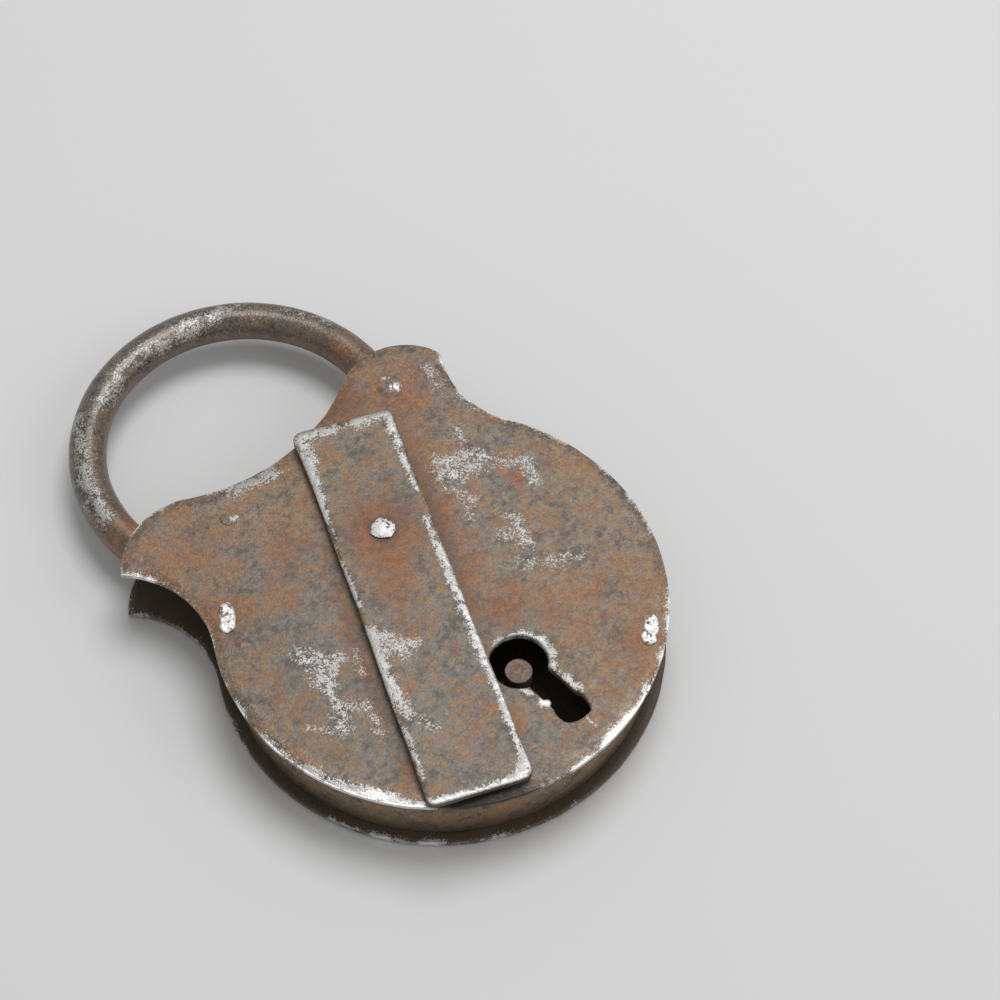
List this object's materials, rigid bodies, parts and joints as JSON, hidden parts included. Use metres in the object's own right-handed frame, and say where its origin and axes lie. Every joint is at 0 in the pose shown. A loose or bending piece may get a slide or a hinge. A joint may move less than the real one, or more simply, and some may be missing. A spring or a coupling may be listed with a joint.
{
  "type": "rusty padlock",
  "caption": "Old rusted iron padlock with eared round plates, a hinged round shackle, a swinging keyhole cover and a drill pin for a hollow key.",
  "frame": {"origin": "centre of the round body on the back plate's outer face, on which the lock lies", "axes": "+X across the lock towards the shackle's pivot, +Y from the round body towards the shackle, +Z out of the front plate"},
  "size_m": [0.09, 0.139, 0.0205],
  "materials": {
    "front_iron": "rusted iron with speckled bare patches and bright worn edges",
    "back_iron": "rusted iron, darker and browner",
    "band_iron": "brown rusted iron",
    "shackle_iron": "dark polished iron with rust and bright speckles",
    "cover_iron": "grey-brown iron with bright worn edges",
    "bare_rivet": "bare hammered iron",
    "inner_iron": "dark dusty iron",
    "pin_iron": "brown iron pin",
    "spring_steel": "dark tempered steel"
  },
  "bodies": {
    "case": {"back_plate": "back_iron", "front_plate": "front_iron", "side_band": "band_iron", "top_bar": "band_iron", "pivot_rivet": "bare_rivet", "front_pivot_washer": "inner_iron", "back_pivot_washer": "inner_iron", "cover_rivet": "bare_rivet", "cover_spacer": "inner_iron", "cover_inner_washer": "inner_iron", "drill_pin": "pin_iron", "high_guide_post": "inner_iron", "low_guide_post": "inner_iron", "high_guide_washer": "inner_iron", "low_guide_washer": "inner_iron"},
    "shackle": {"shackle": "shackle_iron"},
    "cover": {"keyhole_cover": "cover_iron"},
    "bolt": {"bolt": "inner_iron", "bolt_spring": "spring_steel", "spring_rivet": "inner_iron"}
  },
  "joints": [
    {"name": "shackle_swing", "type": "hinge", "parent": "case", "child": "shackle", "pos_m": [0.0265, 0.045, 0.0085], "axis": [0, 0, -1], "range_deg": [0, 130]},
    {"name": "cover_swing", "type": "hinge", "parent": "case", "child": "cover", "pos_m": [0.0017, 0.0187, 0.0187], "axis": [0, 0, 1], "continuous": true},
    {"name": "bolt_slide", "type": "slide", "parent": "case", "child": "bolt", "axis": [-1, 0, 0], "range_m": [0, 0.004]}
  ]
}
